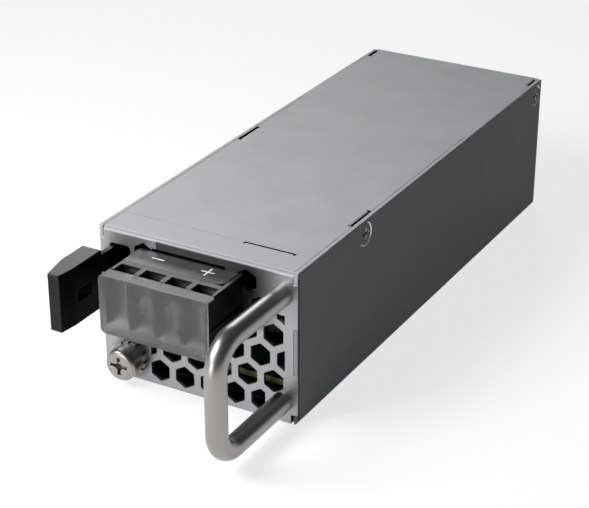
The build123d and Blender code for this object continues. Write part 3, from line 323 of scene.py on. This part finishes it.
def moulded_plastic(
    name, colour, roughness, texture=0.18, depth=0.006, edge_sheen_lift=0.05, skin=0.5, fade=NO_FADE
):
    """Moulded plastic with a fine spark-eroded texture and slightly polished edges, whose colour is
    lightened by a painted sheen.

    Its clear skin has full weight where it doesn't look sideways, and thins out between the two places
    of fade along X. texture and depth are the pebbles' size and height in millimetres."""
    turning_sideways, thinnest_skin = (0.6, 0.95), 0.1
    flow_size, flow_stretch, flow_span = 6.0, (1, 0.4, 1), (0.35, 0.65)
    edge_size, edge_share, edge_polish = 0.25, 0.6, 0.08
    finish = Finish(name, IOR=1.36, Specular_IOR_Level=0.15, Coat_Roughness=0.34, Coat_IOR=1.3)
    thinning = finish.between(finish.millimetres("X"), 1.0, thinnest_skin, fade)
    skin_weight = finish.between(abs(finish.facing("X")), skin, 0.0, turning_sideways)
    finish.set("Coat Weight", skin_weight * thinning)
    pebble = finish.noise(texture, FINE, roughness=0.6)
    flow = finish.between(finish.noise(flow_size, FINE, flow_stretch), 0.0, 1.0, flow_span)
    edge = finish.edges(edge_size)
    body = finish.blend(flow, toned(colour, 0.8), toned(colour, 1.25))
    # Edges painted lighter in colour as a sheen. The polish itself only lowers their roughness below
    polished = [channel + edge_sheen_lift for channel in colour]
    finish.set("Base Color", finish.blend(edge * edge_share, body, polished))
    pebbled_roughness = finish.between(pebble, roughness - 0.05, roughness + 0.07, NOISE_SPAN)
    finish.set("Roughness", pebbled_roughness - edge * edge_polish)
    finish.bump(pebble, depth, strength=0.7, edge_radius=0.2)
    return finish.material


def frosted_plastic():
    """Clear plastic with a frosted skin: light comes through it spread out. Its edges are painted whiter as
    a highlight.
    """
    dim, bright, edge_highlight_white = (0.53, 0.53, 0.535), (0.59, 0.59, 0.595), (0.85, 0.85, 0.86)
    frost_size, cloud_size, edge_size, edge_share = 0.12, 5.0, 0.4, 0.35
    finish = Finish("frosted_plastic", IOR=1.3, Transmission_Weight=0.95, Specular_IOR_Level=0.3)
    frost = finish.noise(frost_size, FINE, roughness=0.65)
    cloud = finish.noise(cloud_size)
    body = finish.blend(cloud, dim, bright)
    # Edges painted whiter as a highlight
    finish.set("Base Color", finish.blend(finish.edges(edge_size) * edge_share, body, edge_highlight_white))
    finish.set("Roughness", finish.between(frost, 0.45, 0.51, NOISE_SPAN))
    finish.bump(cloud, depth=0.004, strength=0.5, edge_radius=0.3)
    return finish.material


def circuit_board():
    """Solder mask over tracks: copper runs show as lighter, raised lines; bare laminate at the edges."""
    mask_dark, mask_light, laminate = (0.006, 0.04, 0.018), (0.014, 0.08, 0.035), (0.20, 0.19, 0.08)
    track_pitch, track_step, track_edge, weave_size, cut_roughness = 4.0, 0.12, (0.03, 0.05), 0.5, 0.3
    finish = Finish("circuit_board", IOR=1.5)
    runs = finish.cells(track_pitch, distance="MANHATTAN", randomness=0.85)
    wave = finish.node("ShaderNodeMath", {"operation": "PINGPONG"}, {0: runs, 1: track_step})
    track = finish.between(wave, 1.0, 0.0, track_edge)
    weave = finish.noise(weave_size)
    side = 1.0 - abs(finish.facing("Z")).clamped()
    mask = finish.blend(track, mask_dark, mask_light)
    finish.set("Base Color", finish.blend(side, mask, laminate))
    finish.set("Roughness", finish.between(weave, 0.3, 0.42) + side * cut_roughness)
    finish.bump(weighed(track, weave, 0.2), depth=0.03, strength=0.6)
    return finish.material


def ferrite():
    """Sintered ferrite: dull dark grey with fine pores."""
    pore, grain, pore_size = (0.03, 0.03, 0.032), (0.075, 0.075, 0.08), 0.6
    finish = Finish("ferrite", IOR=1.6)
    pores = finish.cells(pore_size)
    finish.set("Base Color", finish.blend(pores, pore, grain))
    finish.set("Roughness", finish.between(pores, 0.45, 0.7))
    finish.bump(pores, depth=0.02, strength=0.6)
    return finish.material


def wound_wire():
    """Enamelled copper: warm metal with fine winding lines."""
    groove, crown, wire_pitch = (0.03, 0.013, 0.008), (0.10, 0.045, 0.024), 3.2
    finish = Finish("wound_wire", Metallic=0.85)
    settings = {"wave_type": "BANDS", "bands_direction": "Z"}
    inputs = {"Vector": finish.place, "Scale": 1 / (wire_pitch * MM), "Distortion": 0.4, "Detail": 1.0}
    strands = finish.node("ShaderNodeTexWave", settings, inputs, "Fac")
    finish.set("Base Color", finish.blend(strands, groove, crown))
    finish.set("Roughness", finish.between(strands, 0.42, 0.25))
    finish.bump(strands, depth=0.08, strength=0.8)
    return finish.material


def winding_tape():
    """Glossy polyester tape with the layers' edges showing."""
    amber, yellow = (0.55, 0.36, 0.03), (0.80, 0.60, 0.10)
    layer_size, layer_stretch, crease_size = 0.8, (0.1, 0.1, 1), 2.5
    finish = Finish("winding_tape", IOR=1.55)
    layers = finish.noise(layer_size, stretch=layer_stretch)
    crease = finish.noise(crease_size, FINE)
    finish.set("Base Color", finish.blend(layers, amber, yellow))
    finish.set("Roughness", finish.between(crease, 0.2, 0.4))
    finish.bump(weighed(layers, crease, 0.5), depth=0.04, strength=0.6)
    return finish.material


def capacitor_skin(sleeve, top):
    """Shrunk sleeve on a can: the side is glossy film, the top is bare scored aluminium."""
    film_size, film_stretch, score_size, scored_roughness = 4.0, (1, 1, 0.3), 0.4, 0.1
    turning_up = (0.7, 0.8)
    finish = Finish("capacitor_sleeve", IOR=1.5)
    lid = finish.between(finish.facing("Z"), 0.0, 1.0, turning_up)
    film = finish.noise(film_size, FINE, film_stretch)
    score = finish.noise(score_size)
    side = finish.blend(film, toned(sleeve, 0.75), toned(sleeve, 1.2))
    finish.set("Base Color", finish.blend(lid, side, top))
    finish.set("Metallic", lid)
    finish.set("Roughness", finish.between(film, 0.18, 0.32) + score * scored_roughness)
    finish.bump(weighed(film, score, 0.5), depth=0.02, strength=0.5)
    return finish.material


def dull_film():
    """Thin insulating sheet with a faint leathery crease."""
    hollow, ridge, crease_size, crease_detail = (0.006, 0.006, 0.006), (0.016, 0.016, 0.016), 1.6, 4.0
    finish = Finish("dull_film", IOR=1.5, Specular_IOR_Level=0.35)
    crease = finish.noise(crease_size, crease_detail)
    finish.set("Base Color", finish.blend(crease, hollow, ridge))
    finish.set("Roughness", finish.between(crease, 0.5, 0.7))
    finish.bump(crease, depth=0.03, strength=0.6)
    return finish.material


def printed_white():
    """Thin printed ink, slightly uneven."""
    thin, thick, speck_size = (0.62, 0.62, 0.61), (0.8, 0.8, 0.79), 0.25
    finish = Finish("printed_white", IOR=1.45)
    ink = finish.noise(speck_size, FINE)
    finish.set("Base Color", finish.blend(ink, thin, thick))
    finish.set("Roughness", finish.between(ink, 0.45, 0.65))
    finish.bump(ink, depth=0.004, strength=0.5)
    return finish.material


# What each finish is made with, by the record's name for its slot
COATS = {
    "case_metal": dict(
        name="case_coat",
        dark=(0.32, 0.32, 0.325),
        light=(0.44, 0.44, 0.445),
        fleck_size=0.45,
        roughness=0.56,
    ),
    "panel_metal": dict(
        name="panel_coat",
        dark=(0.35, 0.35, 0.355),
        light=(0.38, 0.38, 0.387),
        fleck_size=0.35,
        roughness=0.5,
        face_shine=0.95,
    ),
}
METALS = {
    "handle_steel": dict(colour=(0.33, 0.325, 0.32), roughness=0.36, size=0.1, depth=0.0002, spread=0.06),
    "plated_steel": dict(colour=(0.35, 0.34, 0.33), roughness=0.36, size=0.2, depth=0.0004, spread=0.1),
    "spring_steel": dict(colour=(0.45, 0.45, 0.46), roughness=0.35),
    "tinned_copper": dict(colour=(0.72, 0.69, 0.64), roughness=0.3, size=0.4, stretch=(1, 0.2, 1)),
    "gold_contact": dict(colour=(0.83, 0.62, 0.24), roughness=0.22, size=0.3, stretch=(1, 0.15, 1)),
    "heatsink_aluminium": dict(colour=(0.70, 0.71, 0.72), roughness=0.34, size=0.3, stretch=(1, 0.08, 1)),
}
PLASTICS = {
    "black_plastic": dict(colour=(0.006, 0.006, 0.0065), roughness=0.34),
    "marker_plastic": dict(
        colour=(0.04, 0.039, 0.039), roughness=0.36, texture=0.12, depth=0.003, skin=0.8, fade=(-7.0, 9.0)
    ),
    "film_capacitor": dict(colour=(0.05, 0.13, 0.40), roughness=0.3, texture=0.5),
    "device_epoxy": dict(colour=(0.02, 0.02, 0.02), roughness=0.42),
    "fuse_ceramic": dict(
        colour=(0.72, 0.70, 0.64), roughness=0.25, texture=0.4, depth=0.003, edge_sheen_lift=0.1
    ),
}
finishes = {
    "frosted_plastic": frosted_plastic(),
    "board_green": circuit_board(),
    "dark_film": dull_film(),
    "ferrite": ferrite(),
    "copper_wire": wound_wire(),
    "yellow_tape": winding_tape(),
    "capacitor_sleeve": capacitor_skin(sleeve=(0.03, 0.05, 0.12), top=(0.7, 0.7, 0.7)),
}
finishes.update({slot: coated_sheet(**made) for slot, made in COATS.items()})
finishes.update({slot: plated_metal(slot, **made) for slot, made in METALS.items()})
finishes.update({slot: moulded_plastic(slot, **made) for slot, made in PLASTICS.items()})


def dress(piece, material):
    """Gives every face of a piece one material."""
    piece.data.materials.clear()
    piece.data.materials.append(material)


def put_in_scene(name, data):
    """Adds an object with this mesh, lamp or camera to the scene."""
    added = bpy.data.objects.new(name, data)
    bpy.context.scene.collection.objects.link(added)
    return added


node_slots = {part["node"]: part["material_slot"] for part in frame["record"]["subparts"]}
for node, piece in frame["nodes"].items():
    dress(piece, finishes[node_slots[node]])


def raised_mark(name, outline, base_z, height):
    """Flat mark: its outline carried straight up by height, and closed with a cap and a base.

    The wall's point (i, j) is outline point i, at base_z plus j times the height, j being 0 or 1."""
    count = len(outline)
    points = np.empty((2, count, 3))
    points[..., :2] = outline
    points[..., 2] = base_z + np.array([0.0, height])[:, None]
    low = np.arange(count)
    following = (low + 1) % count
    walls = np.stack([low, following, following + count, low + count], axis=1)
    cap, base = low + count, low[::-1]
    mesh = bpy.data.meshes.new(name)
    mesh.from_pydata(points.reshape(-1, 3).tolist(), [], [*walls.tolist(), cap.tolist(), base.tolist()])
    mesh.update()
    return put_in_scene(name, mesh)


def bar_outline(centre, length, width):
    """Minus sign's four corners, counter-clockwise: half the length and half the width each way."""
    corners = np.array([[-1, -1], [1, -1], [1, 1], [-1, 1]]) * np.array([length, width]) / 2
    return corners + np.array(centre)


def cross_outline(centre, length, width):
    """Plus sign's twelve corners, counter-clockwise: one arm's three corners, turned by each quarter."""
    half_width, half_length = width / 2, length / 2
    arm = np.array([[half_width, -half_length], [half_width, -half_width], [half_length, -half_width]])
    quarters = np.arange(4) * np.pi / 2
    turns = [np.array([[np.cos(t), -np.sin(t)], [np.sin(t), np.cos(t)]]) for t in quarters]
    return np.concatenate([arm @ turn.T for turn in turns]) + np.array(centre)


# The polarity marks on the marker, and how far their centres are from its edges
MINUS_LENGTH, PLUS_LENGTH, MARK_WIDTH, MARK_HEIGHT = 3.4 * MM, 3.7 * MM, 0.45 * MM, 0.03 * MM
MARKS_FROM_REAR, MINUS_FROM_LEFT, PLUS_FROM_RIGHT = 2.6 * MM, 7.0 * MM, 6.4 * MM
marker_low, marker_high = (np.array(corner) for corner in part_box("terminal_marker"))
marks_y = marker_high[1] - MARKS_FROM_REAR
marks = {
    "minus_mark": bar_outline((marker_low[0] + MINUS_FROM_LEFT, marks_y), MINUS_LENGTH, MARK_WIDTH),
    "plus_mark": cross_outline((marker_high[0] - PLUS_FROM_RIGHT, marks_y), PLUS_LENGTH, MARK_WIDTH),
}
ink = printed_white()
for name, outline in marks.items():
    mark = raised_mark(name, outline, marker_high[2], MARK_HEIGHT)
    dress(mark, ink)
    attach(mark, "case")


# The floor's reach and its rim's height in metres. The rim keeps a level view free of a dark band
FLOOR_REACH, FLOOR_RIM = 6.0, 0.4
# The floor's tone to scattered light, its tone to the camera, and its glow and how much of it shows
FLOOR_DULL, FLOOR_PALE, FLOOR_GLOW, GLOW_SHARE = 0.25, 0.95, 1.1, 0.72


def pale_floor():
    """Pale floor to the camera and to gloss, which glows a little, and a darker one to scattered light."""
    grain_size, least_share, most_share = 8.0, 0.93, 0.95
    finish = Finish("pale_floor")
    camera_ray = finish.node("ShaderNodeLightPath", output="Is Camera Ray")
    rays = camera_ray.socket.node.outputs
    glossy_ray = Value(finish, rays["Is Glossy Ray"])
    transmission_ray = Value(finish, rays["Is Transmission Ray"])
    seen = (camera_ray + glossy_ray + transmission_ray).clamped()
    grain = finish.between(finish.noise(grain_size, FINE), least_share, most_share)
    dull = finish.node("ShaderNodeBsdfDiffuse", None, {"Color": [FLOOR_DULL] * 3})
    pale = finish.node("ShaderNodeBsdfDiffuse", None, {"Color": [FLOOR_PALE] * 3})
    glow = finish.node("ShaderNodeEmission", None, {"Strength": FLOOR_GLOW})
    shown = finish.node("ShaderNodeMixShader", None, {0: grain * GLOW_SHARE, 1: pale, 2: glow})
    mixed = finish.node("ShaderNodeMixShader", None, {0: seen, 1: dull, 2: shown})
    finish.tree.links.new(mixed.socket, finish.result.inputs["Surface"])
    return finish.material


def rimmed_square(name, reach, rim):
    """Square with a low wall on each side: corner i is reach each way from the middle, and corner i + 4
    is rim above it. Wall i goes from corner i to the next, counter-clockwise, and looks inwards."""
    low_corners = np.array([[-1, -1, 0], [1, -1, 0], [1, 1, 0], [-1, 1, 0]]) * reach
    points = np.concatenate([low_corners, low_corners + [0, 0, rim]])
    low = np.arange(4)
    following = (low + 1) % 4
    walls = np.stack([low, low + 4, following + 4, following], axis=1)
    mesh = bpy.data.meshes.new(name)
    mesh.from_pydata(points.tolist(), [], [low.tolist(), *walls.tolist()])
    return mesh


floor = put_in_scene("floor", rimmed_square("floor", FLOOR_REACH, FLOOR_RIM))
dress(floor, pale_floor())


# Each lamp's place and the point it faces, its sides in metres and its power in watts
LAMPS = {
    "key_lamp": dict(
        place=(-0.16, -0.24, 0.25), facing=(0.0, -0.06, 0.02), sides=(0.16, 0.16), watts=1.55
    ),
    "back_lamp": dict(
        place=(-0.56, 0.86, 0.53), facing=(0.0, -0.04, 0.03), sides=(0.5, 0.32), watts=2.8
    ),
    "front_lamp": dict(
        place=(-0.22, -0.75, 0.15), facing=(0.0, -0.07, 0.02), sides=(0.25, 0.25), watts=1.6
    ),
}
WORLD_COLOUR, WORLD_STRENGTH = (0.92, 0.96, 1.0, 1.0), 0.08


def soft_lamp(name, place, facing, sides, watts):
    """Rectangular lamp at a place, facing a point."""
    data = bpy.data.lights.new(name, "AREA")
    data.shape = "RECTANGLE"
    data.size, data.size_y = sides
    data.energy = watts
    away = (Vector(place) - Vector(facing)).normalized()
    turned = away.to_track_quat("Z", "Y").to_matrix().to_4x4()
    put_in_scene(name, data).matrix_world = Matrix.Translation(place) @ turned


for name, made in LAMPS.items():
    soft_lamp(name, **made)

world = bpy.data.worlds.new("studio")
world.use_nodes = True
background = world.node_tree.nodes["Background"]
background.inputs["Color"].default_value = WORLD_COLOUR
background.inputs["Strength"].default_value = WORLD_STRENGTH
bpy.context.scene.world = world


# The photograph's camera: its place in metres, its directions, and its focal length in the pixels of a
# picture that is PHOTO_WIDTH wide. SENSOR is in millimetres
CAMERA_PLACE = Vector((0.19577, -0.37234, 0.21384))
CAMERA_RIGHT = Vector((0.8707, 0.4918, 0.0)).normalized()
CAMERA_FORWARD = Vector((-0.44154, 0.78171, -0.44042)).normalized()
FOCAL_PIXELS, PHOTO_WIDTH, SENSOR, NEAREST_SEEN = 1709.5, 589, 36.0, 0.01

camera_data = bpy.data.cameras.new("camera")
camera_data.sensor_fit = "HORIZONTAL"
camera_data.sensor_width = SENSOR
camera_data.lens = FOCAL_PIXELS / PHOTO_WIDTH * SENSOR
camera_data.clip_start = NEAREST_SEEN
camera = put_in_scene("camera", camera_data)
axes = Matrix((CAMERA_RIGHT, CAMERA_RIGHT.cross(CAMERA_FORWARD), -CAMERA_FORWARD)).transposed()
camera.matrix_world = Matrix.Translation(CAMERA_PLACE) @ axes.to_4x4()
bpy.context.scene.camera = camera
bpy.context.scene.view_settings.view_transform = "Standard"
